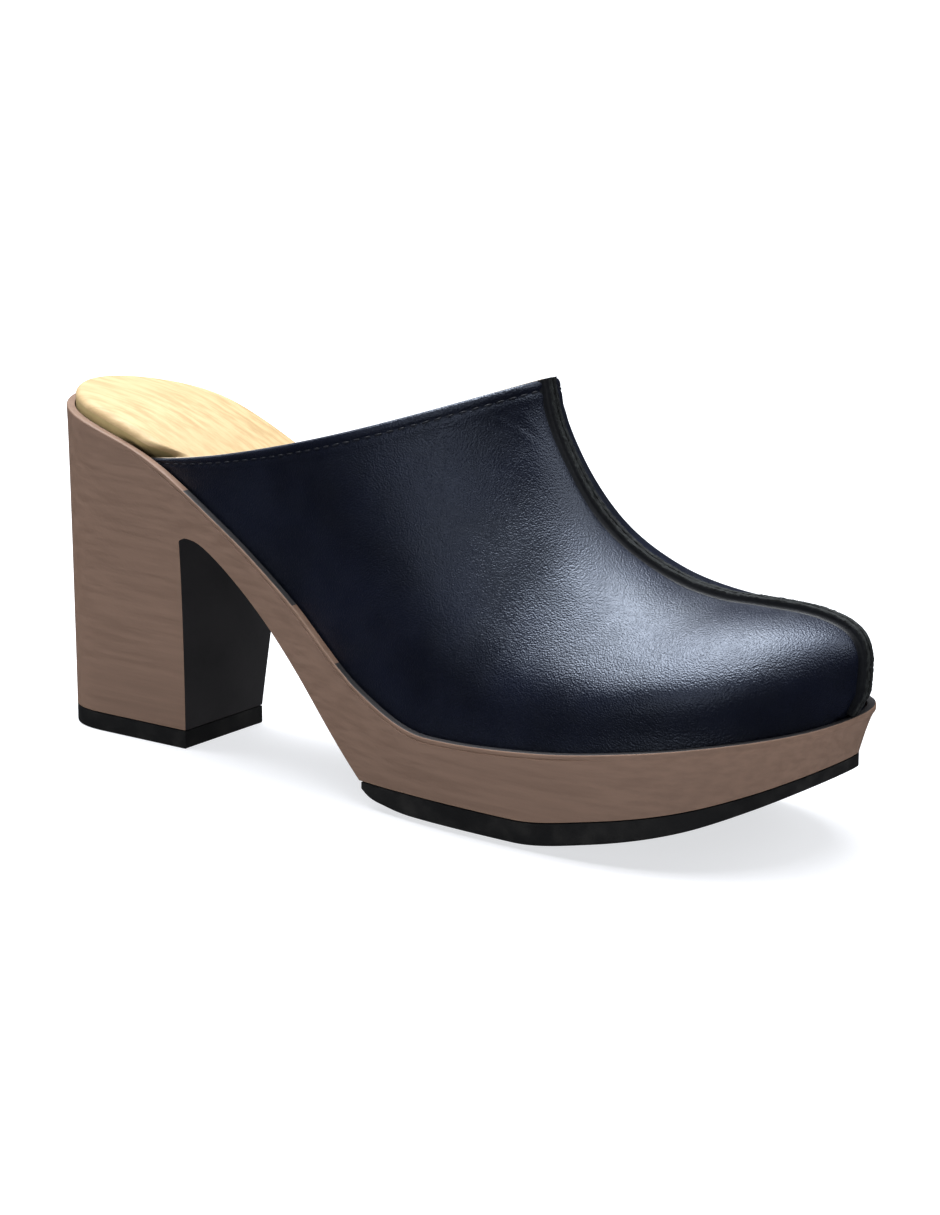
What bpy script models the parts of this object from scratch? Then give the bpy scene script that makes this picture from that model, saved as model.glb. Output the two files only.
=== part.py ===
"""High-heeled platform clog: a right shoe standing empty on its heel and forefoot.

The shoe points its toe along +X, its medial side is +Y and +Z is up. While it is built, x runs
from the heel's back (0) to the toe tip (LENGTH), y is measured from the heel's centre line and
z from the ground. At the end everything moves so that the origin lies under the middle of the box.
"""

import math
from collections import namedtuple

import bmesh
import bpy
import numpy as np

MM = 0.001

# Sole unit
LENGTH = 240 * MM
BALL_WIDTH = 82 * MM
SEAT_WIDTH = 50 * MM
SEAT_ROUND = 35 * MM
TOE_ROUND = 58 * MM
TOE_SWING = 6.5 * MM
TOE_SWING_FROM = 108 * MM
HEEL_HEIGHT = 90 * MM
PLATFORM_HEIGHT = 24.3 * MM
RIM_SPRING = 11.7 * MM
SIDE_TAPER = 3.6 * MM
LIP_WIDTH = 2.0 * MM
RECESS_DEPTH = 3.0 * MM
RIM_BEVEL = 0.6 * MM
GROOVE_DOWN = 0.9 * MM
GROOVE_WIDTH = 0.6 * MM
GROOVE_DEPTH = 0.3 * MM

# Heel block and arch
HEEL_BASE_WIDTH = 32 * MM
HEEL_BASE_ROUND = 17 * MM
HEEL_BASE_SHIFT = -1.7 * MM
HEEL_BACK_SET = 2.6 * MM
BREAST_AT = 48.5 * MM
BREAST_LEAN = 4.5 * MM
ARCH_HEIGHT = 60 * MM
PAD_REAR_AT = 118 * MM

# Rubber under the forefoot and the heel
PAD_THICK = 7.0 * MM
PAD_SPRING = 20.5 * MM
PAD_REAR_LIFT = 5.3 * MM
PAD_EDGE_LIFT = 2.0 * MM
PAD_EDGE_WIDTH = 9 * MM
TOP_PIECE_THICK = 5 * MM
TOP_PIECE_BEVEL = 0.6 * MM

# Insole
INSOLE_RISE = 4.5 * MM
INSOLE_EDGE = 2.4 * MM
INSOLE_CROWN = 0.8 * MM
INSOLE_STEP = 4 * MM
INSOLE_STEP_LEAD = 4.6 * MM

# Upper
WALL = 1.8 * MM
COLLAR_AT_LATERAL = 38.5 * MM
COLLAR_AT_MEDIAL = 58 * MM
THROAT_AT = 151.7 * MM
INSTEP_HEIGHT = 84.3 * MM
TOE_BOX_HEIGHT = 28.2 * MM
BALL_AT = 182 * MM
UPPER_BULGE = 2.2 * MM
BULGE_FOOT = 4.8 * MM
BULGE_FADE = 29 * MM
TOE_OVERHANG = 4.0 * MM
SEAM_WIDTH = 3.0 * MM
SEAM_HEIGHT = 2.0 * MM
THROAT_SHIFT = 2.5 * MM

# Clearances
GAP = 0.3 * MM
LIP_GAP = 0.6 * MM
SOCK_GAP = 1.6 * MM

# How square the rounded ends are in plan: 2 is an ellipse.
SEAT_FULLNESS = 2.05
TOE_FULLNESS = 2.35
HEEL_BASE_FULLNESS = 2.6

# How early the sole unit's side draws in below the rim: 1 is a straight side.
SIDE_FLARE = 0.75

# Share of the upper's height over which it bulges.
BULGE_SPAN = 0.75

STATIONS = 50
PAD_STATIONS = 37
INSOLE_STATIONS = 46
COLLAR_STATIONS = 26
UPPER_ROWS = 34
UPPER_COLUMNS = 32
SEAM_STATIONS = 46

# Rim of the sole unit, from the heel's back to the toe tip. along is a share of LENGTH, lateral and
# medial say how far each half width has grown from the seat's to the ball's, rise is the share
# left of the climb from platform to heel, and spring the share reached of RIM_SPRING.
RimRow = namedtuple("RimRow", "along lateral medial rise spring")
RIM_ROWS = (
    RimRow(0.000, 0.00, 0.00, 1.000, 0.00),
    RimRow(0.150, 0.00, -0.03, 0.891, 0.00),
    RimRow(0.290, 0.20, 0.00, 0.650, 0.00),
    RimRow(0.395, 0.35, 0.08, 0.404, 0.00),
    RimRow(0.500, 0.58, 0.32, 0.118, 0.00),
    RimRow(0.600, 0.84, 0.64, 0.000, 0.00),
    RimRow(0.730, 1.04, 0.93, 0.000, 0.16),
    RimRow(0.850, 1.12, 0.86, 0.000, 0.52),
    RimRow(0.940, 1.14, 0.72, 0.000, 0.82),
    RimRow(1.000, 1.14, 0.66, 0.000, 1.00),
)

# Underside of the arch, from the top of the breast to the rear edge of the forefoot pad. along is
# the share of the way between them and height the share of ARCH_HEIGHT above the pad's rear edge.
ArchRow = namedtuple("ArchRow", "along height")
ARCH_ROWS = (
    ArchRow(0.00, 0.980),
    ArchRow(0.04, 1.000),
    ArchRow(0.10, 0.995),
    ArchRow(0.20, 0.940),
    ArchRow(0.35, 0.810),
    ArchRow(0.50, 0.650),
    ArchRow(0.65, 0.460),
    ArchRow(0.80, 0.255),
    ArchRow(1.00, 0.000),
)

# Ground side of the forefoot pad. along is the share of the way from the pad's rear edge to the
# toe tip, rear the share of PAD_REAR_LIFT, toe the share of PAD_SPRING and thick the share of
# PAD_THICK.
PadRow = namedtuple("PadRow", "along rear toe thick")
PAD_ROWS = (
    PadRow(0.00, 1.00, 0.00, 0.20),
    PadRow(0.03, 0.48, 0.00, 0.59),
    PadRow(0.07, 0.19, 0.00, 0.81),
    PadRow(0.15, 0.00, 0.00, 0.98),
    PadRow(0.42, 0.00, 0.00, 1.00),
    PadRow(0.60, 0.00, 0.16, 0.98),
    PadRow(0.80, 0.00, 0.47, 0.82),
    PadRow(0.92, 0.00, 0.77, 0.62),
    PadRow(1.00, 0.00, 1.00, 0.50),
)

# Sections of the upper from collar to toe tip. Each rises from the foot of the wall to the centre
# seam. foot is the share of the quarter turn that spaces the feet along the rim, seam the share
# of the way from the throat to the tip's foot, over the share of TOE_OVERHANG, instep and toe_box
# the shares of those heights above the rim, round the section's fullness and lean how late it
# tips forward.
UpperRow = namedtuple("UpperRow", "foot seam over instep toe_box round lean")
UPPER_ROWS_TABLE = (
    UpperRow(0.000, 0.000, 0.00, 1.000, 1.00, 2.00, 0.72),
    UpperRow(0.050, 0.031, 0.00, 0.815, 1.00, 2.00, 0.80),
    UpperRow(0.110, 0.094, 0.00, 0.620, 1.00, 2.00, 0.90),
    UpperRow(0.180, 0.173, 0.00, 0.440, 1.00, 2.05, 0.98),
    UpperRow(0.260, 0.267, 0.00, 0.295, 1.00, 2.10, 1.00),
    UpperRow(0.350, 0.382, 0.00, 0.170, 1.00, 2.20, 1.00),
    UpperRow(0.450, 0.513, 0.00, 0.070, 1.00, 2.30, 1.10),
    UpperRow(0.560, 0.654, 0.00, 0.010, 1.00, 2.35, 1.35),
    UpperRow(0.670, 0.790, 0.12, 0.000, 0.95, 2.40, 1.60),
    UpperRow(0.770, 0.905, 0.45, 0.000, 0.86, 2.40, 1.80),
    UpperRow(0.860, 0.975, 0.86, 0.000, 0.72, 2.40, 1.90),
    UpperRow(0.925, 1.000, 1.00, 0.000, 0.50, 2.30, 1.90),
    UpperRow(0.965, 1.000, 0.90, 0.000, 0.25, 2.20, 1.70),
    UpperRow(0.985, 1.000, 0.10, 0.000, 0.04, 2.10, 1.60),
    UpperRow(1.000, 1.000, 0.00, 0.000, -0.10, 2.00, 1.50),
)

# Colour, roughness and metallic value of each piece.
FINISHES = {
    "sole_unit": ((0.205, 0.135, 0.095), 0.62, 0.0),
    "outsole_forefoot": ((0.012, 0.012, 0.013), 0.70, 0.0),
    "heel_top_piece": ((0.012, 0.012, 0.013), 0.70, 0.0),
    "insole": ((0.760, 0.610, 0.400), 0.80, 0.0),
    "upper": ((0.008, 0.011, 0.028), 0.38, 0.0),
}


def smooth(rows, key, column, at):
    """Read a table's column as one smooth curve over its key column, with no overshoot."""
    keys = [getattr(row, key) for row in rows]
    values = [getattr(row, column) for row in rows]
    at = min(max(at, keys[0]), keys[-1])
    last = len(keys) - 2
    i = min(max(sum(1 for k in keys if k <= at) - 1, 0), last)

    def secant(j):
        j = min(max(j, 0), last)
        return (values[j + 1] - values[j]) / (keys[j + 1] - keys[j])

    def slope(j):
        before, after = secant(j - 1), secant(j)
        if before * after <= 0:
            return 0.0
        steepest = 3 * min(abs(before), abs(after))
        return math.copysign(min(abs(before + after) / 2, steepest), before)

    span = keys[i + 1] - keys[i]
    t = (at - keys[i]) / span
    start = values[i] * (2 * t**3 - 3 * t**2 + 1) + slope(i) * span * (t**3 - 2 * t**2 + t)
    end = values[i + 1] * (3 * t**2 - 2 * t**3) + slope(i + 1) * span * (t**3 - t**2)
    return start + end


def mix(a, b, share):
    return a + (b - a) * share


def ease(share):
    share = min(max(share, 0.0), 1.0)
    return share * share * (3 - 2 * share)


def end_round(from_end, reach, power):
    """Share of the full width that a rounded end leaves at a distance from its tip."""
    if from_end >= reach:
        return 1.0
    return (1 - (1 - max(from_end, 0.0) / reach) ** power) ** (1 / power)


def centre_y(x):
    """Centre line in plan, which swings to the medial side at the toe."""
    return TOE_SWING * ease((x - TOE_SWING_FROM) / (LENGTH - TOE_SWING_FROM))


def rim_z(x):
    share = x / LENGTH
    rise = smooth(RIM_ROWS, "along", "rise", share)
    spring = smooth(RIM_ROWS, "along", "spring", share)
    return PLATFORM_HEIGHT + rise * (HEEL_HEIGHT - PLATFORM_HEIGHT) + spring * RIM_SPRING


def half_width(side, x):
    """Half width of the rim without its rounded ends."""
    growth = smooth(RIM_ROWS, "along", side, x / LENGTH)
    return mix(SEAT_WIDTH, BALL_WIDTH, growth) / 2


def rim_point(side, share, inset):
    """Plan point of the rim's outline, moved inwards by inset; share runs from heel to toe."""
    x = mix(inset, LENGTH - inset, share)
    shape_x = share * LENGTH
    round_heel = end_round(shape_x, SEAT_ROUND, SEAT_FULLNESS)
    round_toe = end_round(LENGTH - shape_x, TOE_ROUND, TOE_FULLNESS)
    reach = (half_width(side, shape_x) - inset) * round_heel * round_toe
    return x, centre_y(x) + reach * (-1 if side == "lateral" else 1)


def base_point(side, share):
    """Plan point of the outline where the sole unit meets the rubber."""
    x = mix(HEEL_BACK_SET, LENGTH - SIDE_TAPER, share)
    outward = -1 if side == "lateral" else 1
    rim_x, rim_y = rim_point(side, share, SIDE_TAPER)
    heel = HEEL_BASE_WIDTH / 2 * end_round(x - HEEL_BACK_SET, HEEL_BASE_ROUND, HEEL_BASE_FULLNESS)
    to_platform = ease((x - BREAST_AT) / (PAD_REAR_AT - BREAST_AT))
    heel_y = HEEL_BASE_SHIFT + outward * heel
    return mix(x, rim_x, to_platform), mix(heel_y, rim_y, to_platform)


def pad_value(column, x):
    """Read the pad's table at a place along the shoe."""
    return smooth(PAD_ROWS, "along", column, (x - PAD_REAR_AT) / (LENGTH - SIDE_TAPER - PAD_REAR_AT))


def pad_z(x):
    """Height of the forefoot pad's ground side."""
    return pad_value("rear", x) * PAD_REAR_LIFT + pad_value("toe", x) * PAD_SPRING


def pad_top_z(x):
    return pad_z(x) + pad_value("thick", x) * PAD_THICK


def base_z(x):
    """Height of the sole unit's lower face before the arch is cut."""
    heel = TOP_PIECE_THICK + GAP
    platform = pad_top_z(max(x, PAD_REAR_AT)) + GAP
    return mix(heel, platform, ease((x - BREAST_AT) / (PAD_REAR_AT - BREAST_AT)))


def breast_x(z):
    """The heel's front face leans forward as it rises."""
    return BREAST_AT + BREAST_LEAN * z / ARCH_HEIGHT


def arch_point(along):
    """Point of the arch's underside in the side view, ending at the pad's rear edge."""
    top_x = breast_x(ARCH_HEIGHT)
    end_z = pad_top_z(PAD_REAR_AT)
    height = smooth(ARCH_ROWS, "along", "height", along)
    return mix(top_x, PAD_REAR_AT, along), mix(end_z, ARCH_HEIGHT, height)


def spaced(count):
    """Shares from 0 to 1 that crowd towards both ends."""
    return [(1 - math.cos(math.pi * i / (count - 1))) / 2 for i in range(count)]


def make_material(name):
    colour, roughness, metallic = FINISHES[name]
    material = bpy.data.materials.new(name)
    material.use_nodes = True
    shader = material.node_tree.nodes["Principled BSDF"]
    shader.inputs["Base Color"].default_value = (*colour, 1.0)
    shader.inputs["Roughness"].default_value = roughness
    shader.inputs["Metallic"].default_value = metallic
    material.diffuse_color = (*colour, 1.0)
    return material


def make_object(name, vertices, faces):
    """Make one closed mesh object with its faces turned outwards."""
    mesh = bpy.data.meshes.new(name)
    mesh.from_pydata([tuple(v) for v in vertices], [], faces)
    work = bmesh.new()
    work.from_mesh(mesh)
    bmesh.ops.remove_doubles(work, verts=work.verts, dist=0.01 * MM)
    bmesh.ops.dissolve_degenerate(work, edges=work.edges, dist=0.001 * MM)
    bmesh.ops.triangulate(work, faces=work.faces)
    bmesh.ops.recalc_face_normals(work, faces=work.faces)
    work.to_mesh(mesh)
    work.free()
    thing = bpy.data.objects.new(name, mesh)
    bpy.context.scene.collection.objects.link(thing)
    return thing


def finish_piece(thing, sharp_degrees=35):
    """Give a finished piece its material and its smooth shading."""
    thing.data.materials.append(make_material(thing.name))
    thing.data.shade_smooth()
    thing.data.set_sharp_from_angle(angle=math.radians(sharp_degrees))
    return thing


def loft(rings):
    """Faces that join closed rings of equal length, with a cap on the first and the last."""
    count = len(rings[0])
    vertices = [point for ring in rings for point in ring]
    faces = []
    for r in range(len(rings) - 1):
        for k in range(count):
            nxt = (k + 1) % count
            faces.append((r * count + k, r * count + nxt, (r + 1) * count + nxt, (r + 1) * count + k))
    faces.append(tuple(range(count)))
    faces.append(tuple(range((len(rings) - 1) * count, len(rings) * count)))
    return vertices, faces


def slab(name, shares, side_levels, shape):
    """Loft a slab along its stations. shape gives the point at a side, a share and a level."""
    rings = []
    for share in shares:
        lateral = [shape("lateral", share, level) for level in side_levels]
        medial = [shape("medial", share, level) for level in side_levels]
        rings.append(lateral + medial[::-1])
    return make_object(name, *loft(rings))


def prism(name, profile, half_span):
    """Extrude a closed profile of the side view across the shoe."""
    near = [(x, -half_span, z) for x, z in profile]
    far = [(x, half_span, z) for x, z in profile]
    return make_object(name, *loft([near, far]))


def combine(thing, other, operation):
    """Apply one exact boolean to thing and delete the other solid."""
    modifier = thing.modifiers.new(operation.lower(), "BOOLEAN")
    modifier.operation = operation
    modifier.solver = "EXACT"
    modifier.object = other
    depsgraph = bpy.context.evaluated_depsgraph_get()
    result = bpy.data.meshes.new_from_object(thing.evaluated_get(depsgraph))
    thing.modifiers.remove(modifier)
    thing.data = result
    bpy.data.objects.remove(other)


def side_levels():
    """Levels down the sole unit's side: depth below the rim, inset, and share of the full drop."""
    groove_end = GROOVE_DOWN + GROOVE_WIDTH
    fine = [
        (0.0, RIM_BEVEL),
        (RIM_BEVEL, 0.0),
        (GROOVE_DOWN, 0.0),
        (GROOVE_DOWN + GROOVE_WIDTH / 2, GROOVE_DEPTH),
        (groove_end, 0.0),
    ]
    levels = [(depth, inset, 0.0) for depth, inset in fine]
    steps = 5
    levels += [(groove_end, 0.0, step / steps) for step in range(1, steps + 1)]
    return levels


def sole_point(side, share, level):
    """Point on the sole unit's side. The flare under the rim dies out towards the ground."""
    depth, inset, drop = level
    rim_x, rim_y = rim_point(side, share, inset)
    base_x, base_y = base_point(side, share)
    flare = drop**SIDE_FLARE
    x = mix(rim_x, base_x, flare)
    y = mix(rim_y, base_y, flare)
    top = rim_z(rim_x) - depth
    return x, y, mix(top, base_z(base_x), drop)


def make_sole_unit():
    body = slab("sole_unit", spaced(STATIONS), side_levels(), sole_point)

    end_x, end_z = arch_point(1.0)
    below = -5 * MM
    steps = 22
    arch = [arch_point(i / steps) for i in range(steps + 1)]
    breast_foot = (breast_x(below), below)
    pad_slope = (arch[-2][0] - end_x) / (arch[-2][1] - end_z)
    pad_foot = (end_x - pad_slope * (end_z - below), below)
    combine(body, prism("arch_cutter", [breast_foot] + arch + [pad_foot], BALL_WIDTH), "DIFFERENCE")

    def recess_point(side, share, level):
        x, y = rim_point(side, share, LIP_WIDTH)
        return x, y, rim_z(x) + level

    above = 2 * RECESS_DEPTH
    levels = (above, -RECESS_DEPTH)
    combine(body, slab("recess_cutter", spaced(STATIONS), levels, recess_point), "DIFFERENCE")
    return finish_piece(body)


def make_forefoot_pad():
    """Rubber under the forefoot, flat under the ball and sprung at the toe."""
    levels = (("top", 0.0), ("edge", 0.0), ("ground", PAD_EDGE_WIDTH))

    def pad_point(side, share, level):
        where, inset = level
        tip_x = LENGTH - SIDE_TAPER
        x = mix(PAD_REAR_AT, tip_x, share)
        full_share = (x - HEEL_BACK_SET) / (tip_x - HEEL_BACK_SET)
        base_x, base_y = base_point(side, full_share)
        middle = centre_y(base_x)
        y = middle + (base_y - middle) * (1 - inset / (BALL_WIDTH / 2))
        x = mix(base_x, mix(PAD_REAR_AT, tip_x, 0.5), inset / (tip_x - PAD_REAR_AT))
        thick = pad_value("thick", base_x)
        heights = {"top": thick * PAD_THICK, "edge": thick**2 * PAD_EDGE_LIFT, "ground": 0.0}
        return x, y, pad_z(base_x) + heights[where]

    last = PAD_STATIONS - 1
    shares = [math.sin(math.pi / 2 * i / last) for i in range(PAD_STATIONS)]
    pad = slab("outsole_forefoot", shares, levels, pad_point)
    return finish_piece(pad)


def make_heel_top_piece():
    """Rubber D under the heel, cut off straight at the breast."""
    reach = breast_x(TOP_PIECE_THICK)
    levels = ((TOP_PIECE_THICK, 0.0), (TOP_PIECE_BEVEL, 0.0), (0.0, TOP_PIECE_BEVEL))

    def piece_point(side, share, level):
        z, inset = level
        outward = -1 if side == "lateral" else 1
        x = mix(HEEL_BACK_SET + inset, reach - inset, share)
        shape_x = share * (reach - HEEL_BACK_SET)
        half = (HEEL_BASE_WIDTH / 2 - inset) * end_round(shape_x, HEEL_BASE_ROUND, HEEL_BASE_FULLNESS)
        return x, HEEL_BASE_SHIFT + outward * half, z

    steps = 16
    shares = [1 - math.cos(math.pi / 2 * i / steps) for i in range(steps + 1)]
    return finish_piece(slab("heel_top_piece", shares, levels, piece_point))


def make_insole():
    """Padded sock in the recess; each level narrows just behind the collar's edge."""
    beside_lip = LIP_WIDTH + GAP
    beside_wall = LIP_WIDTH + LIP_GAP + WALL + SOCK_GAP
    underside = GAP - RECESS_DEPTH
    steps = 4
    levels = [(underside, 0.0), (INSOLE_RISE - INSOLE_EDGE, 0.0)]
    for step in range(1, steps + 1):
        turn = math.pi / 2 * step / steps
        levels.append((INSOLE_RISE - INSOLE_EDGE * (1 - math.sin(turn)), INSOLE_EDGE * (1 - math.cos(turn))))
    levels.append((INSOLE_RISE + INSOLE_CROWN, SEAT_WIDTH / 4))

    reach = {side: [collar_reach(side, height) for height, _ in levels] for side in ("lateral", "medial")}

    def insole_point(side, share, level):
        height, inset = level
        x = mix(beside_wall, LENGTH - beside_wall, share)
        collar = reach[side][levels.index(level)]
        beside = mix(beside_lip, beside_wall, ease((x - collar + INSOLE_STEP_LEAD) / INSOLE_STEP))
        x, y = rim_point(side, share, beside + inset)
        return x, y, rim_z(x) + height

    first = COLLAR_AT_LATERAL - beside_wall - INSOLE_STEP_LEAD
    last = reach["medial"][-1]
    close = [mix(first, last, i / COLLAR_STATIONS) / LENGTH for i in range(COLLAR_STATIONS + 1)]
    shares = sorted(spaced(INSOLE_STATIONS) + close)
    return finish_piece(slab("insole", shares, levels, insole_point))


IndexedRow = namedtuple("IndexedRow", ("index",) + UpperRow._fields)


def upper_row(position):
    """Interpolate the upper's section table; position runs from 0 at the collar to 1."""
    rows = len(UPPER_ROWS_TABLE)
    numbered = [IndexedRow(i / (rows - 1), *row) for i, row in enumerate(UPPER_ROWS_TABLE)]
    values = [smooth(numbered, "index", column, position) for column in UpperRow._fields]
    return UpperRow(*values)


def foot_tip_x():
    return LENGTH - LIP_WIDTH - LIP_GAP


def seam_point(row):
    """Point of the centre seam on the leather, in the shoe's frame."""
    x = mix(THROAT_AT, foot_tip_x(), row.seam) + row.over * TOE_OVERHANG
    above = row.toe_box * TOE_BOX_HEIGHT + row.instep * (INSTEP_HEIGHT - TOE_BOX_HEIGHT)
    y = mix(THROAT_SHIFT, centre_y(foot_tip_x()), ease(row.seam))
    return np.array((x, y, rim_z(min(x, LENGTH)) + above))


def foot_point(side, row):
    """Foot of the wall in the recess, and the outline's half width there."""
    rear = COLLAR_AT_LATERAL if side == "lateral" else COLLAR_AT_MEDIAL
    x = mix(rear, foot_tip_x(), math.sin(math.pi / 2 * min(row.foot, 1.0)))
    return np.array((x, foot_y(side, x), rim_z(x) - RECESS_DEPTH + GAP))


def foot_y(side, x):
    inset = LIP_WIDTH + LIP_GAP
    share = (x - inset) / (LENGTH - 2 * inset)
    return rim_point(side, share, inset)[1]


def collar_reach(side, height):
    """Where along the shoe the collar's edge stands this high above the rim."""
    row = upper_row(0.0)
    foot = foot_point(side, row)
    seam = seam_point(row)
    behind, ahead = foot[0], seam[0]
    while ahead - behind > 0.01 * MM:
        x = (behind + ahead) / 2
        climb = ((x - foot[0]) / (seam[0] - foot[0])) ** (1 / row.lean)
        if mix(foot[2], seam[2], climb) < rim_z(x) + height:
            behind = x
        else:
            ahead = x
    return behind


def upper_point(side, row, turn):
    """Point of the upper's outer face; turn is 0 at the foot and a quarter circle at the seam."""
    foot = foot_point(side, row)
    seam = seam_point(row)
    climb = math.sin(turn) ** (2 / row.round)
    spread = math.cos(turn) ** (2 / row.round)
    x = mix(foot[0], seam[0], climb**row.lean)
    z = mix(foot[2], seam[2], climb)
    outline_x = max(foot[0], min(x, BALL_AT))
    middle = mix(centre_y(outline_x), seam[1], climb)
    half = abs(foot_y(side, outline_x) - centre_y(outline_x))
    height = max(seam[2] - foot[2], 0.001 * MM)
    free = (climb * height - BULGE_FOOT) / (BULGE_SPAN * height)
    swell = math.sin(math.pi * min(max(free, 0.0), 1.0)) ** 2
    bulge = UPPER_BULGE * swell * min(1.0, half / BULGE_FADE)
    outward = -1 if side == "lateral" else 1
    return np.array((x, middle + outward * (half * spread + bulge), z))


def upper_grid():
    """Outer face of the upper as rows from collar to toe, each from lateral to medial foot."""
    half_columns = UPPER_COLUMNS // 2
    turns = [math.pi / 2 * i / half_columns for i in range(half_columns + 1)]
    grid = []
    for r in range(UPPER_ROWS):
        row = upper_row(r / UPPER_ROWS)
        lateral = [upper_point("lateral", row, turn) for turn in turns]
        medial = [upper_point("medial", row, turn) for turn in turns[-2::-1]]
        grid.append(lateral + medial)
    return np.array(grid)


def grid_normals(grid):
    along = np.gradient(grid, axis=0)
    across = np.gradient(grid, axis=1)
    normals = np.cross(along, across)
    return normals / np.linalg.norm(normals, axis=2, keepdims=True)


def make_upper():
    """One leather wall from rim to rim, open at the back and underneath, with its seam ridge."""
    outer = upper_grid()
    normals = grid_normals(outer)
    if normals[0, UPPER_COLUMNS // 2, 2] < 0:
        normals = -normals
    inner = outer - WALL * normals
    for edge in (0, -1):
        inner[:, edge, 2] = outer[:, edge, 2]
    tip_row = upper_row(1.0)
    outer_tip = foot_point("lateral", tip_row)
    inner_tip = outer_tip - np.array((WALL, 0.0, 0.0))

    rows, columns = outer.shape[:2]
    vertices = list(outer.reshape(-1, 3)) + list(inner.reshape(-1, 3)) + [outer_tip, inner_tip]
    skip = rows * columns
    outer_end, inner_end = 2 * skip, 2 * skip + 1
    faces = []
    for r in range(rows - 1):
        for c in range(columns - 1):
            corner = r * columns + c
            quad = (corner, corner + 1, corner + columns + 1, corner + columns)
            faces.append(quad)
            faces.append(tuple(skip + v for v in reversed(quad)))
    last = (rows - 1) * columns
    for c in range(columns - 1):
        faces.append((last + c, last + c + 1, outer_end))
        faces.append((skip + last + c + 1, skip + last + c, inner_end))
        faces.append((c + 1, c, skip + c, skip + c + 1))
    for edge in (0, columns - 1):
        line = [r * columns + edge for r in range(rows)] + [outer_end]
        inside = [skip + v for v in line[:-1]] + [inner_end]
        for k in range(rows):
            faces.append((line[k], line[k + 1], inside[k + 1], inside[k]))
    upper = make_object("upper", vertices, faces)
    combine(upper, make_seam_ridge(), "UNION")
    return finish_piece(upper, 40)


def make_seam_ridge():
    """Two raw leather edges that stand up along the centre seam, from throat to toe."""
    steps = 4 * SEAM_STATIONS
    stop_z = rim_z(LENGTH) + LIP_GAP
    line = np.array([seam_point(upper_row(i / steps)) for i in range(steps + 1)])
    line = line[line[:, 2] > stop_z]
    run = np.append(0.0, np.cumsum(np.linalg.norm(np.diff(line, axis=0), axis=1)))
    marks = np.linspace(0.0, run[-1], SEAM_STATIONS)
    line = np.stack([np.interp(marks, run, line[:, axis]) for axis in range(3)], axis=1)
    forward = np.gradient(line, axis=0)
    forward[:, 1] = 0.0
    forward /= np.linalg.norm(forward, axis=1, keepdims=True)
    outward = np.stack([-forward[:, 2], np.zeros(len(line)), forward[:, 0]], axis=1)
    across = np.array((0.0, SEAM_WIDTH / 2, 0.0))
    rings = []
    for point, out in zip(line, outward):
        low = point - 0.5 * WALL * out
        high = point + SEAM_HEIGHT * out
        low[2] = max(low[2], stop_z)
        high[2] = max(high[2], stop_z)
        rings.append([low - across, high - across, high + across, low + across])
    return make_object("seam_ridge", *loft(rings))


def stand_on_origin(pieces):
    """Move every piece so that the origin lies on the ground under the middle of the box."""
    corners = np.array([tuple(v.co) for piece in pieces for v in piece.data.vertices])
    middle = (corners.min(axis=0) + corners.max(axis=0)) / 2
    for piece in pieces:
        piece.location = (-middle[0], -middle[1], -corners[:, 2].min())


def main():
    for old in list(bpy.data.objects):
        bpy.data.objects.remove(old)
    pieces = [
        make_sole_unit(),
        make_forefoot_pad(),
        make_heel_top_piece(),
        make_insole(),
        make_upper(),
    ]
    stand_on_origin(pieces)


main()
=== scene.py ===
"""Looks of the high-heeled platform clog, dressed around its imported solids.

The solids' shapes come back here from the same named sizes with many more points, and get what
the solids leave out: the folded collar with its stitches, the creases, the raw edges of the
centre seam, the lining, the padded sock and the tread. Shapes are made in the shoe's own frame:
x runs from the heel's back to the toe tip, y from the heel's centre line to the medial side and z
from the ground. add_piece() then moves them into the row's frame.
"""

import math
from collections import namedtuple

import bmesh
import bpy
import numpy as np
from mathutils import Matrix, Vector


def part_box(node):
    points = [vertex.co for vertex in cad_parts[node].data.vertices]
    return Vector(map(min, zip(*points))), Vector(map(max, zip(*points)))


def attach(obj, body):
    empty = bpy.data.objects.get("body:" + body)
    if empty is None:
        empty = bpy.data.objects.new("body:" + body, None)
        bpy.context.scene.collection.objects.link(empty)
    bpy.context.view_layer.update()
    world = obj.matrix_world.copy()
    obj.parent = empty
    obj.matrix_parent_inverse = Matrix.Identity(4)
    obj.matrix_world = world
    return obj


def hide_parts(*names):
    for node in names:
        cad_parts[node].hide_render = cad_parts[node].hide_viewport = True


MM = 0.001

# Sole unit
LENGTH = 240 * MM
BALL_WIDTH = 82 * MM
SEAT_WIDTH = 50 * MM
SEAT_ROUND = 35 * MM
TOE_ROUND = 58 * MM
TOE_SWING = 6.5 * MM
TOE_SWING_FROM = 108 * MM
HEEL_HEIGHT = 90 * MM
PLATFORM_HEIGHT = 24.3 * MM
RIM_SPRING = 11.7 * MM
SIDE_TAPER = 3.6 * MM
LIP_WIDTH = 2.0 * MM
RECESS_DEPTH = 3.0 * MM
RIM_ROLL = 0.5 * MM
GROOVE_DOWN = 0.9 * MM
GROOVE_WIDTH = 0.6 * MM
GROOVE_DEPTH = 0.2 * MM
GROOVE_FROM = 0.13
GROOVE_TO = 0.84
GROOVE_FADE = 0.08

# Heel block and arch
HEEL_BASE_WIDTH = 32 * MM
HEEL_BASE_ROUND = 17 * MM
HEEL_BASE_SHIFT = -1.7 * MM
HEEL_BACK_SET = 2.6 * MM
BREAST_AT = 48.5 * MM
BREAST_LEAN = 4.5 * MM
ARCH_HEIGHT = 60 * MM
PAD_REAR_AT = 118 * MM

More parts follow.
